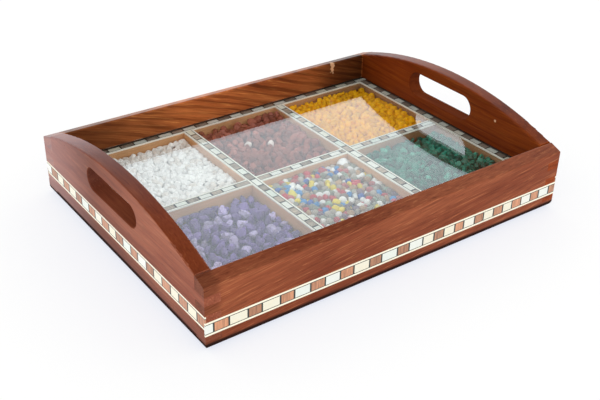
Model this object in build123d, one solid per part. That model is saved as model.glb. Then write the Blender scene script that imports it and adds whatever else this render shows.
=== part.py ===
"""Handled wooden display box for mineral chips, with six compartments under a lift-out glass pane.

Frame: X runs along the long boards, Y from the front board to the back board, +Z is up.
The origin is the centre of the underside, on the surface that the box stands on.
Units are millimetres.
"""
import math
import os
import random

from build123d import *

# ---------------------------------------------------------------- overall form
box_length = 400.0              # over the two end boards
box_width = 304.0               # over the front and back boards
corner_height = 61.0            # outer top edge of the long boards
arch_rise = 29.0                # crown of the end boards above the corner height
front_board_thickness = 14.0
back_board_thickness = 19.0     # the back board is the thickest
end_board_thickness = 15.0
foot_round = 6.5                # rounding of the lower outer edges
edge_ease = 1.6                 # worn rounding of the upper edges

# ---------------------------------------------------------------- corner joints
end_board_finger_count = 3      # the long boards have one more, at the top and at the foot

# ---------------------------------------------------------------- hand slots
slot_length = 94.0
left_slot_height = 21.8         # the two slots are cut by hand and differ in height
right_slot_height = 26.5
slot_centre_height = 64.4
slot_offset = 4.4               # the slots sit a little behind the middle of the end boards
slot_ease = 0.6                 # bevel round the slot's edges for the hand

# ---------------------------------------------------------------- base panel
panel_thickness = 6.0
panel_lift = 6.0                # underside of the panel above the standing surface
groove_depth = 5.0
groove_clearance = 0.3          # between the panel's edges and the groove's bottom

# ---------------------------------------------------------------- glass and its seat
seat_height = 36.5              # top of the ledges and dividers, which carry the glass
glass_thickness = 4.0
glass_clearance = 0.8           # between the pane's edges and the boards
glass_arris = 0.4               # ground edge of the pane

# ---------------------------------------------------------------- ledges and dividers
long_ledge_width = 10.2
end_ledge_width = 11.2
cross_divider_width = 10.9
long_divider_width = 10.3
left_divider_x = -56.0
right_divider_x = 58.6
long_divider_y = -1.8
halving_clearance = 0.1         # round each halved crossing

# ---------------------------------------------------------------- inlaid banding
inlay_thickness = 1.2
stringing_width = 1.8           # pale line along the edge of the banding
line_width = 0.7                # dark line beside it
spacer_width = 1.6              # dark spacer between two tiles
ledge_line_width = 2.7          # the dark line between a ledge's tiles and the board
outer_band_width = 13.2
end_band_height = 27.4          # centre line of the banding on the end boards
long_band_height = 21.2         # centre line of the banding on the long boards
long_band_split = 225.0         # the first length of banding on a long board ends here
hand_cut_variation = 0.07       # how unevenly the tiles are cut
even_pearl_tile = 12.9
even_wood_tile = 12.0
coarse_pearl_tile = 14.6        # first length of banding on the long boards
coarse_wood_tile = 12.0
fine_pearl_tile = 11.8          # second length, and the banding on the dividers
fine_wood_tile = 10.4
short_pearl_tile = 11.0         # banding on the end ledges
short_wood_tile = 9.8
long_board_first_tile = 7.0     # the tiles at the ends of each banding are cut to these lengths
long_board_last_tile = 8.0
end_board_first_tile = 11.2
end_board_last_tile = 10.2
long_ledge_first_tile = 9.9
long_ledge_last_tile = 14.0
end_ledge_first_tile = 10.4
end_ledge_last_tile = 14.2
cross_divider_first_tile = 9.7
cross_divider_last_tile = 13.8
long_divider_first_tiles = (6.1, 12.9, 12.0)
long_divider_last_tiles = (15.2, 4.2, 15.6)

# ---------------------------------------------------------------- mineral chips
bed_clearance = 0.4             # between the chips and the compartment's walls
bed_height = 28.0               # mean height of the chips' top
bed_roughness = 0.25            # how far chips stand above or below it, as a share of their size
white_grain = 9.5               # size of the chips in each compartment
red_grain = 9.5
yellow_grain = 9.5
purple_grain = 12.5
mixed_grain = 9.5
green_grain = 10.0

# ---------------------------------------------------------------- places worked out from the sizes above
# Sides are named by their sign: -1 is the front or the left, 1 is the back or the right.
half_length = box_length / 2
half_width = box_width / 2
inner_half_length = half_length - end_board_thickness
opening_half_length = inner_half_length - end_ledge_width
inner_y = {-1: front_board_thickness - half_width, 1: half_width - back_board_thickness}
opening_y = {side: face - side * long_ledge_width for side, face in inner_y.items()}
crown_height = corner_height + arch_rise
finger_height = corner_height / (2 * end_board_finger_count + 1)
panel_top = panel_lift + panel_thickness
core_top = seat_height - inlay_thickness
halving_height = (panel_top + core_top) / 2
arch_radius = (half_width**2 + arch_rise**2) / (2 * arch_rise)
slot_heights = {-1: left_slot_height, 1: right_slot_height}
even_tiles = {"pearl": even_pearl_tile, "wood": even_wood_tile}
coarse_tiles = {"pearl": coarse_pearl_tile, "wood": coarse_wood_tile}
fine_tiles = {"pearl": fine_pearl_tile, "wood": fine_wood_tile}
short_tiles = {"pearl": short_pearl_tile, "wood": short_wood_tile}


def arch_height(y):
    """Height of the end boards' arched top at y."""
    return crown_height - arch_radius + math.sqrt(arch_radius**2 - y**2)


def block(x0, x1, y0, y1, z0, z1):
    """A box between two corners."""
    return Pos((x0 + x1) / 2, (y0 + y1) / 2, (z0 + z1) / 2) * Box(x1 - x0, y1 - y0, z1 - z0)


# ---------------------------------------------------------------- boards
def rounded_foot(length, height):
    """An upright rectangle on the standing line, with its lower corners rounded."""
    outline = Pos(0, height / 2) * Rectangle(length, height)
    return fillet(outline.vertices().group_by(Axis.Y)[0], foot_round)


def foot_form():
    """The space inside the rounded lower edges of the whole box, open above its crown."""
    height = crown_height + foot_round
    lengthwise = extrude(Plane.YZ * rounded_foot(box_width, height), half_length, both=True)
    crosswise = extrude(Plane.XZ * rounded_foot(box_length, height), half_width, both=True)
    return lengthwise & crosswise


def long_board_fingers():
    """Every finger of the long boards, as blocks through the four corners."""
    fingers = []
    top_level = 2 * end_board_finger_count
    for level in range(0, top_level + 1, 2):
        bottom = level * finger_height
        top = crown_height if level == top_level else bottom + finger_height
        for side in (-1, 1):
            inner, outer = sorted((inner_y[side], side * half_width))
            fingers.append(block(-half_length, half_length, inner, outer, bottom, top))
    return fingers


def end_board_fingers():
    """Every finger of the end boards, as blocks through the four corners."""
    fingers = []
    for level in range(1, 2 * end_board_finger_count, 2):
        bottom = level * finger_height
        for side in (-1, 1):
            inner, outer = sorted((side * inner_half_length, side * half_length))
            fingers.append(block(inner, outer, -half_width, half_width, bottom, bottom + finger_height))
    return fingers


def panel_groove():
    """The groove round the inside of the boards that holds the base panel."""
    x = inner_half_length + groove_depth
    front = inner_y[-1] - groove_depth
    back = inner_y[1] + groove_depth
    return block(-x, x, front, back, panel_lift, panel_top)


def band_groove(side, on_end):
    """The shallow groove for the banding on one end board or one long board."""
    centre = end_band_height if on_end else long_band_height
    low, high = centre - outer_band_width / 2, centre + outer_band_width / 2
    face = half_length if on_end else half_width
    inner, outer = sorted((side * (face - inlay_thickness), side * face))
    if on_end:
        return block(inner, outer, -half_width, half_width, low, high)
    return block(-half_length, half_length, inner, outer, low, high)


def cut_grooves(board):
    """Cuts the panel's groove and the four bandings' grooves into a board."""
    board = board - panel_groove()
    for side in (-1, 1):
        board = board - band_groove(side, True) - band_groove(side, False)
    return board


def long_board(side):
    """Front (side -1) or back (side 1) board: its bevelled top carries on the slope of the arches."""
    inner = inner_y[side]
    outer = side * half_width
    section = Polygon(
        (inner, 0),
        (outer, 0),
        (outer, corner_height),
        (inner, arch_height(inner)),
        align=None,
    )
    section = fillet(section.vertices().sort_by(Axis.Y)[-2:], edge_ease)
    board = extrude(Plane.YZ * section, half_length, both=True)
    board = board & foot_form()
    for finger in end_board_fingers():
        board = board - finger
    return cut_grooves(board)


def arch_outline():
    """Side view of an end board before its joints are cut."""
    with BuildSketch() as outline:
        with BuildLine():
            Polyline(
                (-half_width, corner_height),
                (-half_width, 0),
                (half_width, 0),
                (half_width, corner_height),
            )
            ThreePointArc((half_width, corner_height), (0, crown_height), (-half_width, corner_height))
        make_face()
    return outline.sketch


def end_board(side):
    """Left (side -1) or right (side 1) board: arched top, hand slot with bevelled edges."""
    inner, outer = sorted((side * inner_half_length, side * half_length))
    faces_out = Plane.YZ.offset(inner)
    board = extrude(faces_out * arch_outline(), outer - inner)
    board = fillet(board.edges().filter_by(GeomType.CIRCLE), edge_ease)
    slot_height = slot_heights[side]
    slot = Pos(slot_offset, slot_centre_height) * SlotOverall(slot_length, slot_height)
    board = board - extrude(faces_out * slot, outer - inner)
    slot_edges = [edge for edge in board.edges() if is_on_slot(edge, slot_height)]
    board = chamfer(slot_edges, slot_ease)
    board = board & foot_form()
    for finger in long_board_fingers():
        board = board - finger
    return cut_grooves(board)


def is_on_slot(edge, slot_height):
    """True for an edge that lies in a face of the end board, on the rim of the hand slot."""
    size = edge.bounding_box()
    in_face = size.size.X < 0.01
    in_length = abs(edge.center().Y - slot_offset) < slot_length / 2 + 0.01
    in_height = abs(edge.center().Z - slot_centre_height) < slot_height / 2 + 0.01
    return in_face and in_length and in_height and size.size.Y < slot_length


# ---------------------------------------------------------------- base, ledges, dividers, glass
def base_panel():
    """Panel that closes the bottom, held in the boards' groove."""
    reach = groove_depth - groove_clearance
    x = inner_half_length + reach
    return block(-x, x, inner_y[-1] - reach, inner_y[1] + reach, panel_lift, panel_top)


def long_ledge(side):
    """Strip along the front or back board that carries the glass."""
    near, far = sorted((opening_y[side], inner_y[side]))
    return block(-inner_half_length, inner_half_length, near, far, panel_top, core_top)


def end_ledge(side):
    """Strip along an end board, between the long ledges."""
    near, far = sorted((side * opening_half_length, side * inner_half_length))
    return block(near, far, opening_y[-1], opening_y[1], panel_top, core_top)


def notch(x, low, high):
    """The space between two heights where a cross divider and the long divider cross."""
    reach_x = cross_divider_width / 2 + halving_clearance
    reach_y = long_divider_width / 2 + halving_clearance
    y = long_divider_y
    return block(x - reach_x, x + reach_x, y - reach_y, y + reach_y, low, high)


def cross_divider(x):
    """Divider from ledge to ledge, halved from below over the long divider."""
    half = cross_divider_width / 2
    core = block(x - half, x + half, opening_y[-1], opening_y[1], panel_top, core_top)
    return core - notch(x, panel_top, halving_height)


def long_divider():
    """Divider along the box, halved from above under both cross dividers."""
    y0 = long_divider_y - long_divider_width / 2
    y1 = long_divider_y + long_divider_width / 2
    core = block(-opening_half_length, opening_half_length, y0, y1, panel_top, core_top)
    for x in (left_divider_x, right_divider_x):
        core = core - notch(x, halving_height, core_top)
    return core


def glass_pane():
    """Loose pane that lies on the ledges and dividers."""
    x = inner_half_length - glass_clearance
    front = inner_y[-1] + glass_clearance
    back = inner_y[1] - glass_clearance
    pane = block(-x, x, front, back, seat_height, seat_height + glass_thickness)
    return chamfer(pane.edges(), glass_arris)


# ---------------------------------------------------------------- banding
class Banding:
    """Tiles, spacers, dark lines and pale stringing of one inlaid band, laid flat along +X.

    The band's centre line runs from the origin, its upper surface is at z = 0 and it is one
    inlay thickness deep. A band on a ledge has a broad dark line instead of the pale stringing
    on the side of the board, which is its side 1.
    """

    def __init__(self, width, on_ledge=False):
        self.pale_sides = (-1,) if on_ledge else (-1, 1)
        self.line_widths = {-1: line_width, 1: ledge_line_width if on_ledge else line_width}
        margins = dict(self.line_widths)
        for side in self.pale_sides:
            margins[side] += stringing_width
        self.tile_low = margins[-1] - width / 2
        self.tile_high = width / 2 - margins[1]
        self.pearl = []
        self.wood = []
        self.dark = []
        self.pale = []

    def bar(self, start, end, low, high):
        """A straight piece of the band, as deep as the inlay."""
        return block(start, end, low, high, -inlay_thickness, 0)

    def tiles(self, start, end, lengths, kinds, first, last):
        """Lays tiles of two kinds in turn, with a spacer between neighbours.

        The band begins with a tile of the first kind and the first length, and closes with one of
        the last kind and the last length. The tiles between them are cut to fill the room left.
        """
        order = self.inner_kinds(end - start - first - last, lengths, kinds)
        wanted = []
        for count, kind in enumerate(order):
            uneven = 1 + hand_cut_variation * math.sin(2.4 * count + start)
            wanted.append(uneven * lengths[kind])
        room = end - start - first - last - (len(order) + 1) * spacer_width
        fit = room / sum(wanted)
        cuts = [first] + [fit * length for length in wanted]
        place = start
        for kind, length in zip([kinds[0]] + order, cuts):
            stop = place + length
            self.lay_tile(kind, place, stop)
            self.dark.append(self.bar(stop, stop + spacer_width, self.tile_low, self.tile_high))
            place = stop + spacer_width
        self.lay_tile(kinds[1], place, end)

    def inner_kinds(self, room, lengths, kinds):
        """Kinds of the tiles between the two end tiles, as many as fill the room best."""
        other = "wood" if kinds[0] == "pearl" else "pearl"
        pair = [other, kinds[0]]
        single = [other] if kinds[0] == kinds[1] else []
        pair_length = sum(lengths.values()) + 2 * spacer_width
        single_length = len(single) * (lengths[other] + spacer_width)
        pairs = max(1, round((room - spacer_width - single_length) / pair_length))
        return pairs * pair + single

    def lay_tile(self, kind, start, stop):
        """Adds one tile to its group."""
        group = self.pearl if kind == "pearl" else self.wood
        group.append(self.bar(start, stop, self.tile_low, self.tile_high))

    def edges(self, start, end, pale_trim=0.0):
        """Lays the dark lines, and the pale stringing, which may stop short at both ends."""
        for side in (-1, 1):
            tile_edge = self.tile_high if side > 0 else self.tile_low
            line_edge = tile_edge + side * self.line_widths[side]
            self.dark.append(self.bar(start, end, *sorted((tile_edge, line_edge))))
            if side in self.pale_sides:
                pale_edge = line_edge + side * stringing_width
                low, high = sorted((line_edge, pale_edge))
                self.pale.append(self.bar(start + pale_trim, end - pale_trim, low, high))

    def placed(self, place):
        """The four groups of pieces, moved to where the band is laid."""
        groups = {"pearl_tiles": self.pearl, "wood_tiles": self.wood}
        groups.update({"dark_lines": self.dark, "pale_stringing": self.pale})
        return {name: [place * piece for piece in pieces] for name, pieces in groups.items()}


def long_board_banding(side):
    """Band along the front or back board, in two lengths that butt at the split."""
    band = Banding(outer_band_width)
    first, last = long_board_first_tile, coarse_tiles["pearl"]
    band.tiles(0, long_band_split, coarse_tiles, ("pearl", "pearl"), first, last)
    joint = long_band_split + spacer_width
    band.dark.append(band.bar(long_band_split, joint, band.tile_low, band.tile_high))
    first, last = fine_tiles["pearl"], long_board_last_tile
    band.tiles(joint, box_length, fine_tiles, ("pearl", "wood"), first, last)
    band.edges(0, box_length)
    start = (side * half_length, side * half_width, long_band_height)
    return band.placed(Plane(origin=start, x_dir=(-side, 0, 0), z_dir=(0, side, 0)).location)


def end_board_banding(side):
    """Band along an end board; the bands of the long boards are let in across its ends."""
    band = Banding(outer_band_width)
    first, last = end_board_first_tile, end_board_last_tile
    band.tiles(0, box_width, even_tiles, ("wood", "pearl"), first, last)
    band.edges(0, box_width)
    start = (side * half_length, -half_width, end_band_height)
    place = Plane(origin=start, x_dir=(0, 1, 0), z_dir=(side, 0, 0)).location
    groups = band.placed(place)
    for name, pieces in groups.items():
        groups[name] = [clear_of_long_bands(piece) for piece in pieces]
    return groups


def clear_of_long_bands(piece):
    """Cuts the grooves of the long boards' bands out of a piece that reaches into a corner."""
    if piece.bounding_box().max.Y > half_width - inlay_thickness:
        piece = piece - band_groove(1, False)
    if piece.bounding_box().min.Y < inlay_thickness - half_width:
        piece = piece - band_groove(-1, False)
    return piece


def cross_divider_banding(x, kinds):
    """Band on a cross divider, unbroken from the back ledge to the front one."""
    band = Banding(cross_divider_width)
    length = opening_y[1] - opening_y[-1]
    band.tiles(0, length, fine_tiles, kinds, cross_divider_first_tile, cross_divider_last_tile)
    band.edges(0, length)
    start = (x, opening_y[1], seat_height)
    return band.placed(Plane(origin=start, x_dir=(0, -1, 0), z_dir=(0, 0, 1)).location)


def long_divider_banding():
    """Band on the long divider, in three lengths between the ledges and the cross dividers."""
    half = cross_divider_width / 2
    spans = (
        (-opening_half_length, left_divider_x - half, ("wood", "wood")),
        (left_divider_x + half, right_divider_x - half, ("wood", "wood")),
        (right_divider_x + half, opening_half_length, ("pearl", "pearl")),
    )
    end_tiles = zip(long_divider_first_tiles, long_divider_last_tiles)
    groups = {}
    for (start, end, kinds), (first, last) in zip(spans, end_tiles):
        band = Banding(long_divider_width)
        band.tiles(0, end - start, fine_tiles, kinds, first, last)
        band.edges(0, end - start)
        add_groups(groups, band.placed(Pos(start, long_divider_y, seat_height)))
    return groups


def ledge_banding():
    """Bands on the four ledges; those on the end ledges lie between the other two."""
    groups = {}
    for side in (-1, 1):
        for band, place in (long_ledge_band(side), end_ledge_band(side)):
            add_groups(groups, band.placed(place))
    return groups


def long_ledge_band(side):
    """Band of a long ledge and its place: pale stringing on the side of the compartments only."""
    band = Banding(long_ledge_width, on_ledge=True)
    length = 2 * inner_half_length
    first, last = long_ledge_first_tile, long_ledge_last_tile
    band.tiles(0, length, even_tiles, ("wood", "pearl"), first, last)
    band.edges(0, length, end_ledge_width - stringing_width)
    middle = inner_y[side] - side * long_ledge_width / 2
    place = Pos(-side * inner_half_length, middle, seat_height) * Rot(0, 0, 90 - side * 90)
    return band, place


def end_ledge_band(side):
    """Band of an end ledge and its place, from one long ledge's dark line to the other's."""
    band = Banding(end_ledge_width, on_ledge=True)
    length = opening_y[1] - opening_y[-1] + 2 * stringing_width
    first, last = end_ledge_first_tile, end_ledge_last_tile
    band.tiles(0, length, short_tiles, ("wood", "wood"), first, last)
    band.edges(0, length, stringing_width)
    middle = side * (inner_half_length - end_ledge_width / 2)
    start = opening_y[side] + side * stringing_width
    place = Pos(middle, start, seat_height) * Rot(0, 0, -side * 90)
    return band, place


def add_groups(groups, more):
    """Adds each group of pieces to the group of the same name."""
    for name, pieces in more.items():
        groups.setdefault(name, []).extend(pieces)


# ---------------------------------------------------------------- mineral chips
def chip_bed(x_span, y_span, grain, seed):
    """Bed of loose chips in one compartment: its top is broken into facets as large as the chips."""
    x0, x1 = x_span[0] + bed_clearance, x_span[1] - bed_clearance
    y0, y1 = y_span[0] + bed_clearance, y_span[1] - bed_clearance
    columns = max(2, round((x1 - x0) / grain))
    rows = max(2, round((y1 - y0) / grain))
    uneven = random.Random(seed)
    rough = bed_roughness * grain
    top = []
    for row in range(rows + 1):
        for column in range(columns + 1):
            shift_x = uneven.uniform(-0.3, 0.3) if 0 < column < columns else 0
            shift_y = uneven.uniform(-0.3, 0.3) if 0 < row < rows else 0
            x = x0 + (x1 - x0) * (column + shift_x) / columns
            y = y0 + (y1 - y0) * (row + shift_y) / rows
            top.append(Vector(x, y, bed_height + uneven.uniform(-rough, rough)))
    stride = columns + 1
    faces = []
    for row in range(rows):
        for column in range(columns):
            near = row * stride + column
            far = near + stride
            faces.append(facet(top[near], top[near + 1], top[far + 1]))
            faces.append(facet(top[near], top[far + 1], top[far]))
    foot = [Vector(x, y, panel_top) for x, y in ((x0, y0), (x1, y0), (x1, y1), (x0, y1))]
    front = top[:stride]
    right = top[columns::stride]
    back = top[: rows * stride - 1 : -1]
    left = top[::stride][::-1]
    for corner, edge in enumerate((front, right, back, left)):
        faces.append(facet(*edge, foot[(corner + 1) % 4], foot[corner]))
    faces.append(facet(*foot))
    return Solid(Shell(faces))


def facet(*corners):
    """A flat face between its corners."""
    return Face(Wire.make_polygon(corners, close=True))


def chip_beds():
    """The six beds, by the colour of their chips."""
    half_cross = cross_divider_width / 2
    half_long = long_divider_width / 2
    left = (-opening_half_length, left_divider_x - half_cross)
    middle = (left_divider_x + half_cross, right_divider_x - half_cross)
    right = (right_divider_x + half_cross, opening_half_length)
    front = (opening_y[-1], long_divider_y - half_long)
    back = (long_divider_y + half_long, opening_y[1])
    return {
        "white_chips": chip_bed(left, back, white_grain, 1),
        "red_chips": chip_bed(middle, back, red_grain, 2),
        "yellow_chips": chip_bed(right, back, yellow_grain, 3),
        "purple_chips": chip_bed(left, front, purple_grain, 4),
        "mixed_chips": chip_bed(middle, front, mixed_grain, 5),
        "green_chips": chip_bed(right, front, green_grain, 6),
    }


# ---------------------------------------------------------------- the whole box
def all_nodes():
    """Every piece of the box by its name; like pieces of one band share a name."""
    nodes = {
        "front_board": long_board(-1),
        "back_board": long_board(1),
        "left_end_board": end_board(-1),
        "right_end_board": end_board(1),
        "base_panel": base_panel(),
        "front_ledge": long_ledge(-1),
        "back_ledge": long_ledge(1),
        "left_ledge": end_ledge(-1),
        "right_ledge": end_ledge(1),
        "left_divider": cross_divider(left_divider_x),
        "right_divider": cross_divider(right_divider_x),
        "long_divider": long_divider(),
        "glass_pane": glass_pane(),
    }
    nodes.update(chip_beds())
    bands = {
        "front_band": long_board_banding(-1),
        "back_band": long_board_banding(1),
        "left_band": end_board_banding(-1),
        "right_band": end_board_banding(1),
        "left_divider": cross_divider_banding(left_divider_x, ("pearl", "wood")),
        "right_divider": cross_divider_banding(right_divider_x, ("pearl", "pearl")),
        "long_divider": long_divider_banding(),
        "ledge": ledge_banding(),
    }
    for band, groups in bands.items():
        for group, pieces in groups.items():
            nodes[f"{band}_{group}"] = Compound(children=pieces)
    return nodes


def main():
    """Writes one file for each named piece."""
    os.makedirs("parts", exist_ok=True)
    for name, piece in all_nodes().items():
        export_step(piece, f"parts/{name}.step")


if __name__ == "__main__":
    main()
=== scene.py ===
"""Dresses the handled display box for mineral chips: wood, inlaid banding, stones, glass and stage."""

import math

from collections import namedtuple
from dataclasses import dataclass

import bpy
import numpy as np
from bpy.props import FloatProperty, FloatVectorProperty, IntProperty, PointerProperty
from bpy.types import Operator, Panel, PropertyGroup
from mathutils import Matrix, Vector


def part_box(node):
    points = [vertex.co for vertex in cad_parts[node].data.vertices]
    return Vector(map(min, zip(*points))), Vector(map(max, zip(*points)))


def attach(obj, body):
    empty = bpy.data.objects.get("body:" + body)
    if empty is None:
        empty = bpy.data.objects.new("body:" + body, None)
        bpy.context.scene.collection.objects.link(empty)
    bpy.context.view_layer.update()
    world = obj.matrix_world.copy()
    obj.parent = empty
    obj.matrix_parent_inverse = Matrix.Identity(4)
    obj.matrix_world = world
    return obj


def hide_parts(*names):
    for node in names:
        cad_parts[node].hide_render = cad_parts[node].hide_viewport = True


bl_info = {
    "name": "Mineral Display Box",
    "version": (1, 0, 0),
    "blender": (4, 5, 0),
    "location": "View3D > Sidebar > Display Box",
    "description": "Finishes a glazed tray with inlaid banding and six compartments of stones",
    "category": "Object",
}

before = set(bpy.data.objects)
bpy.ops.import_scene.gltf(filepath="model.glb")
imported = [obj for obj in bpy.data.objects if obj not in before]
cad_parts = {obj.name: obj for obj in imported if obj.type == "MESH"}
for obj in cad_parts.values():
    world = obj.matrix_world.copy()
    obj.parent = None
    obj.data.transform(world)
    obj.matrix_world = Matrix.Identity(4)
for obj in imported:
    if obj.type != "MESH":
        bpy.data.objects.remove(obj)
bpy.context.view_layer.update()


# ---------------- how the boards differ, in metres
# A slot is the hole that a round bar leaves when it moves along y, and a sill its lower wall, which
# rises from one x to another. A mark is a pale spot with half sizes, and a painted sheen is a pale
# haze of painted reflection that grows from one place along the board to another, up to a strength.
Slot = namedtuple("Slot", "centre_y centre_z half_length radius")
Sill = namedtuple("Sill", "outer inner rise")
Mark = namedtuple("Mark", "centre size")
PaintedSheen = namedtuple("PaintedSheen", "start end strength")
PLAIN = (1.0, 1.0, 1.0)


@dataclass
class Board:
    """How one rosewood board looks.

    The grain runs along one axis with a tilt in degrees, and the origin is the board's place in the
    tree. Streaks and veins are the strengths of the fine streaks and of the growth lines. Tops are
    factors of painted light and shade on the faces that look up, at the near or left end and at the
    far or right end. A stop of the tone and shade has a place, 0 or 1 at BOARD_REACH from the middle,
    and half of the factor on the colour; it is partly the wood's own depth of colour and partly
    painted shade towards the corners. The shade under the band is a factor of painted shade on the
    strip under the banding, and painted shade darkens the lower edge between two heights. A painted
    sheen is a pale haze that stands in for reflected light.
    """

    along: str
    tilt: float
    origin: tuple
    streaks: float
    veins: float
    fade: tuple
    tint: tuple = PLAIN
    tops: tuple = (PLAIN, PLAIN)
    shade_under_band: float = 1.0
    marks: tuple = ()
    painted_sheen: PaintedSheen = None
    slot: Slot = None
    sill: Sill = None
    shadowed: tuple = (0.0084, 0.0062)


BOARD_REACH = 0.2
HAND_SLOT = {"centre_y": 0.0044, "centre_z": 0.0644, "half_length": 0.047}
SLOT_EDGE = (0.0012, 0.0007)  # the eased edge round a slot, outside its radius
SLOT_RIM = 0.0014  # points within this of a slot's radius belong to its wall
BOARDS = {
    "front_board": Board(
        along="X", tilt=6.0, origin=(0.31, 0.07, 0.013), streaks=0.58, veins=0.12,
        fade=((0.0, 0.34), (0.024, 0.35), (0.045, 0.5), (0.5, 0.5)),
        tops=((0.8, 0.8, 0.8), (0.85, 0.85, 0.85)),
    ),
    "back_board": Board(
        along="X", tilt=-18.0, origin=(0.11, 0.02, 0.052), streaks=0.5, veins=0.85,
        fade=(
            (0.0, 0.57), (0.036, 0.57), (0.042, 0.26), (0.13, 0.28), (0.25, 0.44), (0.4, 0.74),
            (0.5, 0.72), (0.62, 0.56), (0.76, 0.46), (0.875, 0.15), (0.956, 0.13), (0.963, 0.5),
        ),
        tint=(1.36, 1.52, 1.0),
        marks=(Mark(centre=(0.140, 0.133, 0.0625), size=(0.0028, 0.006, 0.0085)),),
        # painted sheen on the board's left end, where it shows in the left face
        painted_sheen=PaintedSheen(start=-0.1845, end=-0.1855, strength=0.55),
    ),
    "right_end_board": Board(
        along="Y", tilt=-4.0, origin=(0.15, 0.41, 0.031), streaks=0.4, veins=0.5,
        fade=((0.153, 0.85), (0.158, 0.5), (0.7, 0.5), (0.83, 0.4)),
        # painted shade: this tint darkens and deepens the board, whose inner face lies in the box's shade
        tint=(0.66, 0.46, 0.16),
        tops=((0.95, 0.95, 0.95), (1.1, 1.1, 1.1)),
        marks=(Mark(centre=(0.185, -0.078, 0.068), size=(0.006, 0.0012, 0.0012)),),
        slot=Slot(**HAND_SLOT, radius=0.01325),
    ),
    "left_end_board": Board(
        along="Y", tilt=4.0, origin=(0.05, 0.21, 0.023), streaks=0.28, veins=0.2,
        fade=((0.1, 0.52), (0.3, 0.5), (0.5, 0.42), (0.625, 0.36), (0.75, 0.46), (0.86, 0.58)),
        tint=(1.2, 1.4, 1.75),
        tops=((0.48, 0.30, 0.17), (0.88, 0.76, 0.62)),
        shade_under_band=0.74,
        painted_sheen=PaintedSheen(start=0.04, end=0.145, strength=0.42),
        slot=Slot(**HAND_SLOT, radius=0.0109),
        sill=Sill(outer=-0.1995, inner=-0.185, rise=0.0015),
        shadowed=(0.0098, 0.0076),
    ),
}


# ---------------- how the stones differ, in metres
# A cut says how stones are broken: the squares along one side of the cube that becomes the ball,
# the planes that cut it, the ranges of thickness over length and of plane height over radius, and
# whether it is shaded round. The stone nearest to a chosen place takes a colour and grows by a factor.
Cut = namedtuple("Cut", "steps facets thickness plane_height rounded")
Chosen = namedtuple("Chosen", "place colour factor")


@dataclass
class Heap:
    """The stones of one compartment.

    The number sets its random draws apart, and its top is higher than the common heap height by
    the lift. The palette names colour properties or holds colours, and shares go with it. Spread
    is the variation in brightness, and tilt the rise from front to back. Density is the filled
    share of the room, and swell makes the settled stones larger.
    """

    kind: str
    finish: str
    cut: Cut
    number: int
    lift: float
    palette: tuple
    shares: tuple
    spread: float
    tilt: float = 0.0
    density: float = 0.80
    swell: float = 1.13
    chosen: tuple = ()


CHIPS = Cut(steps=2, facets=9, thickness=(0.72, 1.0), plane_height=(0.66, 0.96), rounded=False)
LUMPS = Cut(steps=3, facets=7, thickness=(0.75, 1.0), plane_height=(0.66, 0.96), rounded=True)
SLABS = Cut(steps=3, facets=10, thickness=(0.65, 0.95), plane_height=(0.58, 0.82), rounded=False)
BLOCKS = Cut(steps=3, facets=10, thickness=(0.65, 0.95), plane_height=(0.56, 0.78), rounded=False)
PEBBLES = Cut(steps=3, facets=5, thickness=(0.68, 0.95), plane_height=(0.72, 0.98), rounded=True)

HEAP_SURFACE = 0.031  # height near which chosen stones are looked for
STONE_CEILING = 0.0358  # just under the glass
PALE_STONES = tuple(
    Chosen((x, y, HEAP_SURFACE), (0.80, 0.70, 0.66), 0.85)
    for x, y in ((0.0065, 0.0964), (-0.009, 0.074), (0.018, 0.0755), (0.0107, 0.0632))
)
LARGE_PEBBLES = (
    Chosen((0.0420, -0.0105, HEAP_SURFACE), (0.92, 0.93, 0.93), 1.45),
    Chosen((-0.0357, -0.0342, HEAP_SURFACE), (0.72, 0.62, 0.08), 1.5),
    Chosen((-0.0302, -0.0206, HEAP_SURFACE), (0.04, 0.24, 0.50), 1.35),
    Chosen((0.0148, -0.0140, HEAP_SURFACE), (0.46, 0.05, 0.08), 1.45),
    Chosen((-0.0249, -0.0749, HEAP_SURFACE), (0.03, 0.20, 0.52), 1.3),
)
PEBBLE_COLOURS = {
    "red": (0.50, 0.02, 0.04),
    "rose": (0.46, 0.10, 0.10),
    "deep blue": (0.01, 0.10, 0.42),
    "blue": (0.02, 0.23, 0.55),
    "yellow": (0.76, 0.60, 0.03),
    "orange brown": (0.42, 0.26, 0.14),
    "white": (0.80, 0.80, 0.78),
    "olive grey": (0.24, 0.26, 0.21),
    "dark brown": (0.20, 0.16, 0.14),
    "sand": (0.40, 0.36, 0.31),
    "dark purple": (0.17, 0.11, 0.16),
    "pale green": (0.28, 0.40, 0.30),
}
HEAPS = (
    Heap(
        kind="white", finish="rough", cut=CHIPS, number=0, lift=0.0,
        palette=("white", "shaded_white"), shares=(5, 1), spread=0.05, tilt=0.002, density=0.92,
        swell=1.2,
    ),
    Heap(
        kind="red", finish="rough", cut=SLABS, number=1, lift=0.0040, palette=("red", "light_red"),
        shares=(3, 1), spread=0.30, tilt=0.002, swell=1.18, chosen=PALE_STONES,
    ),
    Heap(
        kind="yellow", finish="rough", cut=LUMPS, number=2, lift=0.0042,
        palette=("yellow", "dark_yellow"), shares=(3, 1), spread=0.14, tilt=0.002,
    ),
    Heap(
        kind="purple", finish="broken", cut=BLOCKS, number=3, lift=0.0015,
        palette=("purple", "light_purple"), shares=(5, 1.5), spread=0.25, tilt=0.001,
    ),
    Heap(
        kind="green", finish="broken", cut=SLABS, number=5, lift=0.003,
        palette=("green", "light_green"), shares=(9, 1), spread=0.5, density=0.84, swell=1.24,
    ),
    Heap(
        kind="mixed", finish="tumbled", cut=PEBBLES, number=4, lift=0.0025,
        palette=tuple(PEBBLE_COLOURS.values()), shares=(2.5, 2, 2, 2, 2.5, 2, 5, 6, 4, 6, 2, 2),
        spread=0.15, chosen=LARGE_PEBBLES,
    ),
)


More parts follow.
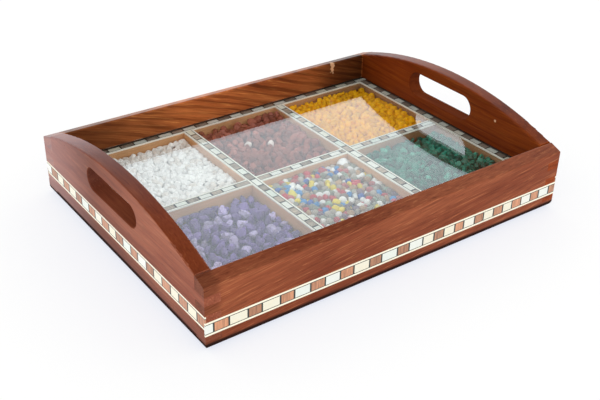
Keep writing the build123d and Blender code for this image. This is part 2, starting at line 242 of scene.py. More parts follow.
# ---------------- what a user may change
def colour(name, description, value):
    """A colour property, in linear light."""
    return FloatVectorProperty(
        name=name, description=description, default=value, subtype="COLOR", min=0.0, max=1.0, size=3
    )


def length(name, description, value):
    """A length property, in metres."""
    return FloatProperty(name=name, description=description, default=value, unit="LENGTH", min=0.0)


def mean_radius(kind, value):
    """The mean radius of one kind of stone, in metres."""
    return length(f"{kind} radius", f"Mean radius of the {kind.lower()} stones", value)


def number(name, description, value, least=0.0):
    """A plain number with a lower limit."""
    return FloatProperty(name=name, description=description, default=value, min=least)


def angle(name, description, degrees):
    """An angle property, given in degrees."""
    value = math.radians(degrees)
    return FloatProperty(name=name, description=description, default=value, subtype="ANGLE")


class WoodFinish(PropertyGroup):
    """Colours and gloss of the woods."""

    heart: colour("Heartwood", "Main colour of the boards", (0.185, 0.040, 0.0165))
    light: colour("Light streaks", "Colour of the lighter streaks", (0.29, 0.080, 0.034))
    dark: colour("Dark streaks", "Colour of the dark growth lines", (0.070, 0.014, 0.006))
    fleck: colour("Flecks", "Colour of the fine pale flecks", (0.46, 0.165, 0.068))
    # painted sheen: a pale haze that stands in for reflected light
    painted_sheen: colour("PaintedSheen", "Colour of the haze of reflection", (0.37, 0.27, 0.29))
    # painted shade along the lower edge of the boards
    shadowed: colour("Shadowed edge", "Colour of the worn lower edge", (0.012, 0.006, 0.005))
    sapwood: colour("Sapwood", "Colour of the pale marks", (0.62, 0.36, 0.20))
    lining: colour("Lining", "Colour of the ledges and dividers", (0.62, 0.34, 0.16))
    panel: colour("Base panel", "Colour of the plywood base", (0.36, 0.21, 0.11))
    gloss: FloatProperty(
        name="Roughness", description="Roughness of the waxed boards", default=0.31, min=0.05, max=1.0
    )


class InlayFinish(PropertyGroup):
    """Colours of the inlaid banding."""

    pearl: colour("Pearl", "Whitest pearl tile", (0.87, 0.87, 0.81))
    cream: colour("Cream pearl", "Yellowest pearl tile", (0.86, 0.80, 0.62))
    green: colour("Green pearl", "Greenest pearl tile", (0.78, 0.83, 0.76))
    tile_wood: colour("Tile wood", "Wood tiles on the boards", (0.46, 0.205, 0.105))
    inner_wood: colour("Inner tile wood", "Wood tiles round the chips", (0.45, 0.375, 0.305))
    dark_wood: colour("Dark lines", "Lines and spacers", (0.014, 0.022, 0.015))
    inner_stringing: colour("Inner stringing", "Pale lines round the chips", (0.96, 0.95, 0.86))
    stringing: colour("Stringing", "Pale lines along the banding", (0.93, 0.88, 0.70))


class StoneFinish(PropertyGroup):
    """Colours and sizes of the stones."""

    white: colour("White", "White quartz", (0.87, 0.865, 0.855))
    shaded_white: colour("Dull white", "Duller white quartz", (0.78, 0.74, 0.70))
    red: colour("Red-brown", "Red-brown stones", (0.26, 0.080, 0.058))
    light_red: colour("Light red-brown", "Lighter red-brown stones", (0.34, 0.115, 0.09))
    yellow: colour("Yellow", "Ochre stones", (0.86, 0.43, 0.005))
    dark_yellow: colour("Dark yellow", "Darker ochre stones", (0.80, 0.37, 0.004))
    purple: colour("Purple", "Amethyst", (0.16, 0.105, 0.31))
    light_purple: colour("Light purple", "Paler amethyst", (0.46, 0.39, 0.64))
    green: colour("Green", "Green stones", (0.009, 0.155, 0.105))
    light_green: colour("Light green", "Paler green stones", (0.055, 0.29, 0.21))
    white_radius: mean_radius("White", 0.0037)
    red_radius: mean_radius("Red-brown", 0.0047)
    yellow_radius: mean_radius("Yellow", 0.0035)
    purple_radius: mean_radius("Purple", 0.0054)
    mixed_radius: mean_radius("Mixed", 0.0034)
    green_radius: mean_radius("Green", 0.0042)
    heap_height: length("Heap height", "Top of the heaps above the standing surface", 0.0285)
    seed: IntProperty(name="Seed", description="Another heap of the same stones", default=7, min=1)


class GlassFinish(PropertyGroup):
    """The loose pane."""

    ior: FloatProperty(name="Index", description="Index of refraction", default=1.52, min=1.0, max=2.5)
    tint: colour("Tint", "Colour of the glass", (0.975, 0.99, 0.985))
    light: colour("Light", "Tint of the light that falls through the glass", (0.95, 0.97, 0.96))


class StageSettings(PropertyGroup):
    """Camera, floor and light."""

    azimuth: angle("Azimuth", "Camera's turn round the box", -36.42)
    elevation: angle("Elevation", "Camera's height angle", 30.72)
    roll: angle("Roll", "Camera's roll", 1.36)
    distance: length("Distance", "Camera's distance from its target", 0.93171)
    target: FloatVectorProperty(
        name="Target",
        description="Point that the camera looks at",
        default=(-0.00827, -0.01158, 0.00607),
        subtype="TRANSLATION",
        size=3,
    )
    lens: number("Focal length", "Focal length in millimetres", 56.594, least=1.0)
    floor: colour("Floor", "Colour of the floor", (0.60, 0.60, 0.60))
    floor_lift: colour("Floor light", "Light from the white floor round the box", (0.50, 0.50, 0.50))
    seen_floor: colour("Seen floor", "Colour of the floor that the camera sees", (0.34, 0.31, 0.19))
    seen_lift: colour("Seen floor light", "Light of the floor that the camera sees", (0.65, 0.684, 0.805))
    low_light: colour("Low light", "Light from the sides, at full strength", (1.0, 1.0, 1.0))
    side_strength: number("Side light", "Brightness of the light from the sides", 1.5)
    top_strength: number("Top light", "Brightness of the light from overhead", 0.55)
    sheen: colour("Sheen", "Tint of what polished faces and the glass mirror", (0.82, 0.92, 1.0))
    sheen_strength: number("Sheen strength", "Brightness of what polished faces mirror", 2.2)


# ---------------- shader nodes
def new_material(name):
    """An empty node material; returns it and its node tree."""
    material = bpy.data.materials.new(name)
    material.use_nodes = True
    material.node_tree.nodes.clear()
    return material, material.node_tree


def is_socket(value):
    """Whether a value is a socket rather than a number or a colour."""
    return isinstance(value, bpy.types.NodeSocket)


def node(tree, kind, inputs=None, **settings):
    """Adds a shader node; an input given a socket is linked and any other input is set."""
    made = tree.nodes.new(f"ShaderNode{kind}")
    for name, value in settings.items():
        setattr(made, name, value)
    for name, value in (inputs or {}).items():
        if is_socket(value):
            tree.links.new(value, made.inputs[name])
        else:
            made.inputs[name].default_value = value
    return made


def chained(kind, inputs, **settings):
    """Adds a shader node to the tree that the sockets among its inputs belong to."""
    tree = next(value.id_data for value in inputs.values() if is_socket(value))
    return node(tree, kind, inputs, **settings)


def calc(operation, *values):
    """Arithmetic on sockets and numbers."""
    return chained("Math", dict(enumerate(values)), operation=operation).outputs[0]


def vector(operation, *values):
    """Vector arithmetic on sockets and triples."""
    made = chained("VectorMath", dict(enumerate(values)), operation=operation)
    return made.outputs["Value" if operation == "LENGTH" else "Vector"]


def span(value, low, high, to_low=0.0, to_high=1.0, shape="LINEAR"):
    """Carries a value from one range to another and clamps it there."""
    inputs = {"Value": value, "From Min": low, "From Max": high, "To Min": to_low, "To Max": to_high}
    return chained("MapRange", inputs, interpolation_type=shape).outputs["Result"]


def eased(value, low, high):
    """Carries a range to 0 to 1, with soft ends."""
    return span(value, low, high, shape="SMOOTHSTEP")


def mix(factor, first, second, blend_type="MIX"):
    """Mixes two colours."""
    inputs = {0: factor, 6: rgba(first), 7: rgba(second)}
    return chained("Mix", inputs, data_type="RGBA", blend_type=blend_type).outputs[2]


def multiplied(first, second):
    """Two colours multiplied."""
    return mix(1.0, first, second, "MULTIPLY")


def rgba(value):
    """A colour with its alpha, or the socket itself."""
    return value if is_socket(value) else (*value, 1.0)


def noise(place, scale, detail=2.0, roughness=0.5, distortion=0.0, output="Fac"):
    """Noise at a place, with its scale in cycles per metre."""
    inputs = {"Vector": place, "Scale": scale, "Detail": detail}
    inputs.update({"Roughness": roughness, "Distortion": distortion})
    return chained("TexNoise", inputs).outputs[output]


def stretched(place, scale, rotation=(0.0, 0.0, 0.0), location=(0.0, 0.0, 0.0)):
    """A place moved, turned and scaled, for a pattern that runs along the grain."""
    inputs = {"Vector": place, "Location": location, "Rotation": rotation, "Scale": scale}
    return chained("Mapping", inputs).outputs["Vector"]


def object_place(tree):
    """The point on the box, in metres."""
    return node(tree, "TexCoord").outputs["Object"]


def show(tree, shader):
    """Puts a shader on the material's output."""
    node(tree, "OutputMaterial", {"Surface": shader})


def surface(tree, **inputs):
    """A Principled shader on the material's output."""
    names = {name.replace("_", " "): value for name, value in inputs.items()}
    show(tree, node(tree, "BsdfPrincipled", names).outputs["BSDF"])


# ---------------- finishes
def grey(value):
    """The same number as a colour."""
    channels = {axis: value for axis in ("Red", "Green", "Blue")}
    return chained("CombineColor", channels).outputs[0]


def product(*values):
    """Several factors multiplied."""
    result = values[0]
    for value in values[1:]:
        result = calc("MULTIPLY", result, value)
    return result


def profile(value, stops):
    """A smooth curve through stops, each a place from 0 to 1 and a height from 0 to 1."""
    ramp = chained("ValToRGB", {"Fac": value})
    ramp.color_ramp.interpolation = "EASE"
    elements = ramp.color_ramp.elements
    while len(elements) < len(stops):
        elements.new(0.5)
    for element, (position, height) in zip(elements, sorted(stops)):
        element.position = position
        element.color = (height, height, height, 1.0)
    return ramp.outputs["Color"]


# Patterns in rosewood, in cycles per metre; a triple is along, across and through the grain
BEND_SCALE = 14.0
BROAD_SCALE = 38.0
GROWTH_LINE_SCALE = 40.0
STREAK_SCALE = (24.0, 760.0, 760.0)
FIBRE_SCALE = (40.0, 900.0, 900.0)
PORE_SCALE = (110.0, 1300.0, 1300.0)
GRAIN_SQUEEZE = (0.14, 1.0, 1.0)  # slow patterns are about seven times as long as wide
BEND = 0.034  # how far the growth lines wander, in metres

# Ranges of noise over which each effect changes
LIGHT_WOOD = (0.30, 0.72)
DARK_STREAKS = (0.46, 0.30)
PALE_STREAKS = (0.54, 0.68)
GROWTH_LINES = (0.60, 0.97)
VEINED_WOOD = (0.30, 0.60)
FIBRES = (0.25, 0.75)
OPEN_PORES = (0.68, 0.76)

TOP_CHANGE = (-0.07, 0.07)  # stretch in which the painted light and shade of a board's top changes
UNDER_BAND = (0.0150, 0.0225)  # heights between which the strip of painted shade under the banding ends
MARK_SCALE = 260.0
MARK_TEAR = 2.2  # how far the edge of a mark is torn, over its size
# strength of the painted shade along the lower edge
FOOT_SHADE_STRENGTH = 0.94
# painted shade inside a hand slot
SLOT_SHADE = 0.35
WOOD_SHEEN = 0.06  # specular level of the waxed boards
WOOD_RELIEF = {"Strength": 0.2, "Distance": 0.0002}


def rosewood(name, wood, board):
    """Rosewood with its grain along one axis of the box.

    To the wood's own tones come painted light and shade on the top faces, the depth of colour along
    the board, partly painted shade towards its corners, a painted sheen, pores, painted shade along
    the lower edge, pale marks and the rough inside of the hand slot, darkened by painted shade.
    """
    material, tree = new_material(name)
    place = object_place(tree)
    position = chained("SeparateXYZ", {0: place}).outputs
    turn = (0.0, math.radians(board.tilt), 0.0 if board.along == "X" else math.radians(-90))
    grain = stretched(place, (1.0, 1.0, 1.0), turn, board.origin)
    fibre = noise(stretched(grain, FIBRE_SCALE), 1.0, detail=3.0, roughness=0.6)
    pores = noise(stretched(grain, PORE_SCALE), 1.0, detail=1.0)
    pore_strength = span(pores, *OPEN_PORES, 0.0, 0.5)
    # painted shade along the lower edge; the same heights are also made rough
    shadowed = span(position["Z"], *board.shadowed)

    tone = sawn_wood(grain, fibre, wood, board)
    # painted light and shade: faces that look up take the board's top factors
    tone = shaded_tops(tree, tone, position[board.along], board)
    # partly the wood's own depth of colour, partly painted shade towards the corners and under the banding
    tone = multiplied(tone, grey(depth_and_shade(position, board)))
    # painted sheen: a pale haze that stands in for reflected light along the board
    if board.painted_sheen:
        painted_sheen = board.painted_sheen
        haze = span(position[board.along], painted_sheen.start, painted_sheen.end, 0.0, painted_sheen.strength)
        tone = mix(haze, tone, wood.painted_sheen)
    tone = mix(pore_strength, tone, wood.dark)
    # painted shade along the lower edge
    tone = mix(product(shadowed, FOOT_SHADE_STRENGTH), tone, wood.shadowed)
    for mark in board.marks:
        tone = mix(ragged_spot(place, mark), tone, wood.sapwood)

    roughness = span(fibre, 0.2, 0.8, wood.gloss - 0.05, wood.gloss + 0.08)
    roughness = calc("MAXIMUM", roughness, shadowed)
    # the inside of the hand slot is made rough and darkened by painted shade
    if board.slot:
        inside = in_slot(position, board.slot)
        tone = mix(product(inside, SLOT_SHADE), tone, wood.dark)
        roughness = calc("MAXIMUM", roughness, inside)
    relief = calc("SUBTRACT", calc("MULTIPLY", fibre, 0.5), pore_strength)
    normal = chained("Bump", {"Height": relief, **WOOD_RELIEF}).outputs["Normal"]
    surface(tree, Base_Color=tone, Roughness=roughness, Specular_IOR_Level=WOOD_SHEEN, Normal=normal)
    return material


def sawn_wood(grain, fibre, wood, board):
    """The wood's own colour.

    Growth lines are bands across the grain, bent by slow noise; streaks and fibres are noise
    drawn out along the grain.
    """
    drawn_out = stretched(grain, GRAIN_SQUEEZE)
    bend = noise(drawn_out, BEND_SCALE, output="Color")
    bend = vector("MULTIPLY", vector("SUBTRACT", bend, (0.5, 0.5, 0.5)), (BEND, BEND, BEND))
    bent = vector("ADD", drawn_out, bend)
    broad = noise(bent, BROAD_SCALE, detail=3.0, roughness=0.55)
    fine = noise(stretched(vector("ADD", grain, bend), STREAK_SCALE), 1.0, detail=4.0, roughness=0.62)
    wave = {"Vector": bent, "Scale": GROWTH_LINE_SCALE, "Distortion": 6.0}
    wave.update({"Detail": 3.0, "Detail Scale": 1.3, "Detail Roughness": 0.6})
    lines = chained("TexWave", wave, bands_direction="Z").outputs["Fac"]

    tone = mix(eased(broad, *LIGHT_WOOD), wood.heart, wood.light)
    tone = mix(product(eased(fine, *DARK_STREAKS), board.streaks), tone, wood.dark)
    tone = mix(product(eased(fine, *PALE_STREAKS), board.streaks), tone, wood.fleck)
    vein = product(eased(lines, *GROWTH_LINES), span(broad, *VEINED_WOOD, 1.0, 0.35))
    tone = mix(product(vein, board.veins), tone, wood.dark)
    tone = multiplied(tone, grey(span(fibre, *FIBRES, 0.80, 1.20)))
    return multiplied(tone, board.tint)


def shaded_tops(tree, tone, place_along, board):
    """A tone with painted light and shade, the top's factor, on faces that look up."""
    normal = node(tree, "NewGeometry").outputs["Normal"]
    up = chained("SeparateXYZ", {0: normal}).outputs["Z"]
    tint = mix(span(place_along, *TOP_CHANGE), *board.tops)
    return mix(span(up, 0.5, 0.8), tone, multiplied(tone, tint))


def depth_and_shade(position, board):
    """The depth of colour and painted shade: the board's tone and shade, partly painted shade towards the
    corners, and painted shade on the strip under the banding.
    """
    place_along = span(position[board.along], -BOARD_REACH, BOARD_REACH)
    # painted shade on the strip under the banding
    strip = span(position["Z"], *UNDER_BAND, board.shade_under_band, 1.0)
    return product(strip, 2.0, profile(place_along, board.fade))


def ragged_spot(place, mark):
    """1 in a pale mark, 0 elsewhere: an ellipsoid whose edge is torn by noise."""
    scale = tuple(1 / size for size in mark.size)
    away = vector("MULTIPLY", vector("SUBTRACT", place, mark.centre), scale)
    rough = noise(place, MARK_SCALE, detail=3.0, roughness=0.65)
    torn = calc("MULTIPLY", calc("SUBTRACT", rough, 0.5), MARK_TEAR)
    distance = calc("ADD", vector("LENGTH", away), torn)
    return eased(distance, 1.15, 0.65)


def in_slot(position, slot):
    """1 on the walls of a hand slot, 0 elsewhere, by the distance from the slot's middle line."""
    along = calc("ABSOLUTE", calc("SUBTRACT", position["Y"], slot.centre_y))
    along = calc("MAXIMUM", calc("SUBTRACT", along, slot.half_length - slot.radius), 0.0)
    up = calc("SUBTRACT", position["Z"], slot.centre_z)
    away = calc("SQRT", calc("ADD", product(along, along), product(up, up)))
    return span(away, *(slot.radius + edge for edge in SLOT_EDGE))


def by_axis(axis, on_axis, off_axis):
    """Scales of a pattern: one number along the x or y axis and another in both other directions."""
    return (on_axis, off_axis, off_axis) if axis == "X" else (off_axis, on_axis, off_axis)


LINING_SHADE = (0.05, 0.13)  # stretch of x in which painted shade darkens the lining and the base panel
FIBRE_STRENGTH = 0.14


def plain_wood(name, base, roughness, along):
    """Plain straight-grained wood, darkened to the right by painted shade.

    Its one colour is varied slowly, and by fibres drawn out along the grain.
    """
    material, tree = new_material(name)
    place = object_place(tree)
    grain = stretched(place, by_axis(along, 18.0, 500.0))
    fibre = noise(grain, 1.0, detail=3.0, roughness=0.6)
    slow = noise(place, 25.0)
    streaks = span(fibre, 0.25, 0.75, -FIBRE_STRENGTH, FIBRE_STRENGTH)
    value = calc("ADD", streaks, span(slow, 0.3, 0.7, 0.90, 1.10))
    across = chained("SeparateXYZ", {0: place}).outputs["X"]
    # painted shade darkens the wood towards the right
    value = product(value, span(across, *LINING_SHADE, 1.0, 0.55))
    tone = multiplied(base, grey(value))
    normal = chained("Bump", {"Height": fibre, **WOOD_RELIEF}).outputs["Normal"]
    surface(tree, Base_Color=tone, Roughness=roughness, Normal=normal)
    return material


PEARL_SEED, WOOD_SEED = 11, 31  # for the tints of the tiles, counted up from band to band
LEDGE_SHADE = 0.50  # painted shade: colour of the ledges' wood tiles over that of the dividers'
WAXED = {"Coat_Weight": 0.15, "Coat_Roughness": 0.12}
POLISHED = {"Coat_Weight": 1.0, "Coat_Roughness": 0.12}


def pearl(name, inlay, coat, creamy=(0.40, 0.80), shade=1.0):
    """Mother-of-pearl tiles: each tile has its own tint between white, cream and green."""
    material, tree = new_material(name)
    tint = node(tree, "Attribute", attribute_name="piece").outputs["Fac"]
    swirl = noise(object_place(tree), 110.0, detail=3.0, roughness=0.6, distortion=1.5)
    tone = mix(span(tint, *creamy), inlay.pearl, inlay.cream)
    tone = mix(span(tint, 0.30, 0.05), tone, inlay.green)
    tone = mix(span(swirl, 0.35, 0.70, 0.0, 0.35), tone, inlay.green)
    tone = multiplied(tone, (shade, shade, shade))
    surface(tree, Base_Color=tone, Roughness=0.28, **coat)
    return material


def tile_wood(name, base, along, coat):
    """Reddish wood tiles with their grain across the band; each tile has its own depth of colour."""
    material, tree = new_material(name)
    tint = node(tree, "Attribute", attribute_name="piece").outputs["Fac"]
    grain = noise(stretched(object_place(tree), by_axis(along, 900.0, 60.0)), 1.0)
    depth = span(tint, 0.0, 1.0, -0.22, 0.30)
    value = calc("ADD", depth, span(grain, 0.35, 0.65, 0.66, 1.26))
    tone = multiplied(base, grey(value))
    surface(tree, Base_Color=tone, Roughness=0.35, **coat)
    return material


def inlay_line(name, base, variation, coat):
    """Thin wood lines, a little uneven in colour."""
    material, tree = new_material(name)
    uneven = noise(object_place(tree), 60.0, detail=3.0, roughness=0.6)
    value = span(uneven, 0.3, 0.7, 1.0 - variation, 1.0)
    tone = multiplied(base, grey(value))
    surface(tree, Base_Color=tone, Roughness=0.34, **coat)
    return material


STONE_RELIEF = {"Strength": 0.35, "Distance": 0.0003}


def stone(name, roughness, gloss, mottle, painted_facet_light):
    """Stones that take their colour from the mesh.

    Fine mottling varies it everywhere, and painted light and shade make one cut of a stone brighter than
    another.
    """
    material, tree = new_material(name)
    own = node(tree, "Attribute", attribute_name="stone_colour").outputs["Color"]
    fine = noise(object_place(tree), 420.0, detail=3.0, roughness=0.6)
    value = span(fine, 0.3, 0.7, 1.0 - mottle, 1.0 + mottle)
    # painted light and shade: each cut of a stone is made brighter or darker at random
    facet = node(tree, "Attribute", attribute_name="facet").outputs["Fac"]
    value = product(value, span(facet, 0.0, 1.0, 1.0 - painted_facet_light, 1.0 + painted_facet_light))
    tone = multiplied(own, grey(value))
    normal = chained("Bump", {"Height": fine, **STONE_RELIEF}).outputs["Normal"]
    surface(tree, Base_Color=tone, Roughness=roughness, Specular_IOR_Level=gloss, Normal=normal)
    return material


def clear_glass(name, glass):
    """Clear glass; the light that falls on what lies under it goes straight through."""
    material, tree = new_material(name)
    inputs = {"Base Color": rgba(glass.tint), "Roughness": 0.0, "IOR": glass.ior}
    inputs["Transmission Weight"] = 1.0
    pane = node(tree, "BsdfPrincipled", inputs).outputs["BSDF"]
    rays = node(tree, "LightPath")
    lets_through = calc("MAXIMUM", rays.outputs["Is Shadow Ray"], rays.outputs["Is Diffuse Ray"])
    open_air = node(tree, "BsdfTransparent", {"Color": rgba(glass.light)}).outputs[0]
    show(tree, node(tree, "MixShader", {0: lets_through, 1: pane, 2: open_air}).outputs[0])
    return material


# ---------------- meshes
MICROMETRES = 1e6  # in a metre
SHARP_ANGLE = math.radians(32)  # a board's edges that are sharper than this stay sharp


def triangles(name):
    """The triangles of a node as an array of corners."""
    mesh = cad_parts[name].data
    corners = np.empty(len(mesh.vertices) * 3)
    mesh.vertices.foreach_get("co", corners)
    mesh.calc_loop_triangles()
    index = np.empty(len(mesh.loop_triangles) * 3, int)
    mesh.loop_triangles.foreach_get("vertices", index)
    return corners.reshape(-1, 3)[index].reshape(-1, 3, 3)


def merged(corners):
    """Shared points and faces of loose triangles, whose corners meet within a micrometre."""
    keys = np.round(corners.reshape(-1, 3) * MICROMETRES).astype(np.int64)
    points, index = np.unique(keys, axis=0, return_inverse=True)
    return points / MICROMETRES, index.reshape(-1, 3)


def islands(point_count, faces):
    """A number for each face that its whole connected piece shares.

    Each point starts with its own number; every face gives its points their lowest number,
    until nothing changes any more.
    """
    label = np.arange(point_count)
    while True:
        lowest = label[faces].min(axis=1)
        update = label.copy()
        np.minimum.at(update, faces.ravel(), np.repeat(lowest, 3))
        if (update == label).all():
            break
        label = update
    return np.unique(label[faces[:, 0]], return_inverse=True)[1]


def new_piece(name, points, faces, material, smooth=False):
    """A mesh object at the origin that rides on the tray."""
    mesh = bpy.data.meshes.new(name)
    mesh.from_pydata(points.tolist(), [], faces.tolist())
    mesh.polygons.foreach_set("use_smooth", np.full(len(mesh.polygons), smooth))
    mesh.materials.append(material)
    mesh.update()
    piece = bpy.data.objects.new(name, mesh)
    bpy.context.scene.collection.objects.link(piece)
    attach(piece, "tray")
    return piece


def finish_node(name, material):
    """Gives a node of the box its material."""
    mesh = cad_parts[name].data
    mesh.materials.clear()
    mesh.materials.append(material)


def tinted_copy(name, material, seed):
    """A merged copy of a node of many small pieces, with a number from 0 to 1 for each piece."""
    points, faces = merged(triangles(name))
    group = islands(len(points), faces)
    numbers = np.random.default_rng(seed).random(group.max() + 1)
    piece = new_piece(f"{name}.tinted", points, faces, material)
    attribute = piece.data.attributes.new("piece", "FLOAT", "FACE")
    attribute.data.foreach_set("value", numbers[group].astype(np.float32))
    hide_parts(name)


def raised_sill(points, slot, sill):
    """The points of a board with the lower wall of its hand slot raised towards the inside.

    A point of the slot's wall rises in proportion to its distance from the outer face and to its
    depth under the slot's middle, so the ends of the slot stay as they are.
    """
    along = np.maximum(np.abs(points[:, 1] - slot.centre_y) - (slot.half_length - slot.radius), 0)
    on_wall = np.hypot(along, points[:, 2] - slot.centre_z) < slot.radius + SLOT_RIM
    depth = np.clip((slot.centre_z - points[:, 2]) / slot.radius, 0, 1)
    inwards = np.clip((points[:, 0] - sill.outer) / (sill.inner - sill.outer), 0, 1)
    points[:, 2] += on_wall * depth * inwards * sill.rise
    return points


def smooth_copy(name, board, material):
    """A merged copy of a board whose rounded edges and arch are shaded smooth."""
    points, faces = merged(triangles(name))
    if board.sill:
        points = raised_sill(points, board.slot, board.sill)
    piece = new_piece(f"{name}.smooth", points, faces, material, smooth=True)
    piece.data.set_sharp_from_angle(angle=SHARP_ANGLE)
    weighted = piece.modifiers.new("weighted normals", "WEIGHTED_NORMAL")
    weighted.keep_sharp = True
    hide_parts(name)


def ball_grid(steps):
    """Directions and quads of a ball.

    Each face of a cube is a grid of two parameters from -1 to 1, warped by the tangent so that
    its squares stay alike; each grid point is then brought to length 1.
    """
    line = np.tan(np.linspace(-1, 1, steps + 1) * math.pi / 4)
    u, v = np.meshgrid(line, line, indexing="ij")
    one = np.ones_like(u)
    sides = [(one, u, v), (-one, v, u), (v, one, u), (u, -one, v), (u, v, one), (v, u, -one)]
    grid = np.stack([np.stack(side, axis=-1) for side in sides]).reshape(-1, 3)
    grid /= np.linalg.norm(grid, axis=1, keepdims=True)
    row, column = np.meshgrid(np.arange(steps), np.arange(steps), indexing="ij")
    corner = (row * (steps + 1) + column).ravel()
    quad = np.stack([corner, corner + steps + 1, corner + steps + 2, corner + 1], axis=1)
    quads = (quad[None] + np.arange(6)[:, None, None] * (steps + 1) ** 2).reshape(-1, 4)
    points, index = np.unique(np.round(grid, 6), axis=0, return_inverse=True)
    return points, index.ravel()[quads]


# Settling: lengths are over a stone's radius where nothing else is said
UNEVEN_RADII = (0.78, 1.22)
UNEVEN_VOLUME = 1.06  # mean volume of such stones, over that of a mean one
START_HEIGHT = 1.5  # over the heap's
SETTLING_STEPS = 45
SINK = 0.05  # in each step
PUSH = 0.45  # share of an overlap by which each stone moves away
REST_HEIGHT = 0.7  # least height of a centre above the compartment's bottom
TINY = 1e-9  # in metres, so that no distance is zero
WAVE_HEIGHT = 0.0009  # in metres
WAVES_ACROSS, WAVES_BACK = 7.0, 6.0  # in radians, over the compartment

# Cutting: lengths are over a stone's radius
LEAST_SLANT = 0.05  # least cosine at which a plane still cuts
UNCUT_REACH = 9.0
LONGEST_REACH = 1.22
WIDTHS = (0.74, 1.0)  # range of a stone's width over its length

SHAPE_DRAWS, COLOUR_DRAWS = 50, 90  # added to the seed for these draws
CHOSEN_LIFT = 0.6  # share of its growth by which a chosen stone rises
BRIGHTEST = 0.95


def settle(count, radius, low, high, top, seed, tilt):
    """Centres and radii of balls that have settled in a compartment.

    The balls start at random. In every step each one sinks a little, and each pair that overlaps
    is pushed apart along the line between its centres, by nearly half of the overlap each. The
    heap is levelled under a lid that tilts to the back and waves gently, the sum of two sines.
    """
    random = np.random.default_rng(seed)
    radii = radius * random.uniform(*UNEVEN_RADII, count)
    low = np.array(low)
    high = np.array(high)
    centres = low + (high - low) * random.random((count, 3))
    centres[:, 2] = low[2] + (top * START_HEIGHT - low[2]) * random.random(count)
    for _ in range(SETTLING_STEPS):
        centres[:, 2] -= radius * SINK
        apart = centres[:, None] - centres[None]
        distance = np.sqrt((apart**2).sum(axis=2)) + TINY
        overlap = np.maximum(radii[:, None] + radii[None] - distance, 0)
        np.fill_diagonal(overlap, 0)
        centres += (apart * (overlap / distance * PUSH)[:, :, None]).sum(axis=1)
        centres[:, :2] = np.clip(centres[:, :2], low[:2] + radii[:, None], high[:2] - radii[:, None])
        across, back = ((centres - low) / (high - low))[:, :2].T
        waves = np.sin(WAVES_ACROSS * across + seed) + np.sin(WAVES_BACK * back + 2.0 * seed)
        lid = top + tilt * (back - 0.5) + WAVE_HEIGHT * waves - radii
        centres[:, 2] = np.clip(centres[:, 2], low[2] + radii * REST_HEIGHT, lid)
    return centres, radii


def stones(centres, radii, cut, seed):
    """Points and quads of stones, all as one mesh.

    A stone is a ball cut by planes: along each direction the radius is the least of plane height
    over the cosine to the plane, held under an upper limit. It is then flattened and turned.
    Each cut has a number from 0 to 1, which all of its quads share.
    """
    random = np.random.default_rng(seed)
    directions, quads = ball_grid(cut.steps)
    count = len(centres)
    planes = random.normal(size=(count, cut.facets, 3))
    planes /= np.linalg.norm(planes, axis=2, keepdims=True)
    heights = random.uniform(*cut.plane_height, (count, cut.facets))
    slant = np.einsum("nfc,dc->nfd", planes, directions)
    cut_reach = heights[:, :, None] / np.maximum(slant, LEAST_SLANT)
    reach = np.where(slant > LEAST_SLANT, cut_reach, UNCUT_REACH)
    nearest_plane = reach.argmin(axis=1)[:, quads[:, 0]]
    facet = random.random((count, cut.facets))[np.arange(count)[:, None], nearest_plane]
    shape = directions[None] * np.minimum(reach.min(axis=1), LONGEST_REACH)[:, :, None]
    width = random.uniform(*WIDTHS, count)
    thickness = random.uniform(*cut.thickness, count)
    shape = shape * np.stack([np.ones(count), width, thickness], axis=1)[:, None]
    turns, _ = np.linalg.qr(random.normal(size=(count, 3, 3)))
    turns *= np.sign(np.linalg.det(turns))[:, None, None]
    shape = np.einsum("nij,ndj->ndi", turns, shape)
    points = centres[:, None] + shape * radii[:, None, None]
    faces = quads[None] + (np.arange(count) * len(directions))[:, None, None]
    return points.reshape(-1, 3), faces.reshape(-1, 4), facet.ravel()


def stone_colours(heap, look, count):
    """A colour for each stone, picked from the palette by shares and varied in brightness."""
    random = np.random.default_rng(look.seed + heap.number + COLOUR_DRAWS)
    palette = [getattr(look, tone) if isinstance(tone, str) else tone for tone in heap.palette]
    shares = np.array(heap.shares) / sum(heap.shares)
    picks = np.array(palette)[random.choice(len(palette), count, p=shares)]
    return picks * (1 + random.uniform(-heap.spread, heap.spread, (count, 1)))


def fill(heap, look, material):
    """Fills one compartment with stones that stand for its bed.

    Their number is the filled volume over the mean volume of a stone.
    """
    name = f"{heap.kind}_chips"
    radius = getattr(look, f"{heap.kind}_radius")
    top = look.heap_height + heap.lift
    seed = look.seed + heap.number
    low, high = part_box(name)
    room = (high.x - low.x) * (high.y - low.y) * (top - low.z)
    count = int(room * heap.density / (4 / 3 * math.pi * radius**3 * UNEVEN_VOLUME))
    centres, radii = settle(count, radius, low, high, top, seed, heap.tilt)
    colours = stone_colours(heap, look, count)
    for chosen in heap.chosen:
        tops = centres + (0, 0, 1) * radii[:, None]
        nearest = np.linalg.norm(tops - np.array(chosen.place), axis=1).argmin()
        colours[nearest] = chosen.colour
        centres[nearest, 2] += radii[nearest] * (chosen.factor - 1) * CHOSEN_LIFT
        radii[nearest] *= chosen.factor
    points, faces, facet = stones(centres, radii * heap.swell, heap.cut, seed + SHAPE_DRAWS)
    points = np.clip(points, np.array(low), np.array((high.x, high.y, STONE_CEILING)))
    piece = new_piece(f"{name}.stones", points, faces, material, heap.cut.rounded)
    numbers = piece.data.attributes.new("facet", "FLOAT", "FACE")
    numbers.data.foreach_set("value", facet.astype(np.float32))
    paint = piece.data.color_attributes.new("stone_colour", "FLOAT_COLOR", "POINT")
    values = np.ones((count, len(points) // count, 4), np.float32)
    values[:, :, :3] = np.clip(colours, 0, BRIGHTEST)[:, None]
    paint.data.foreach_set("color", values.ravel())
    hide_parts(name)


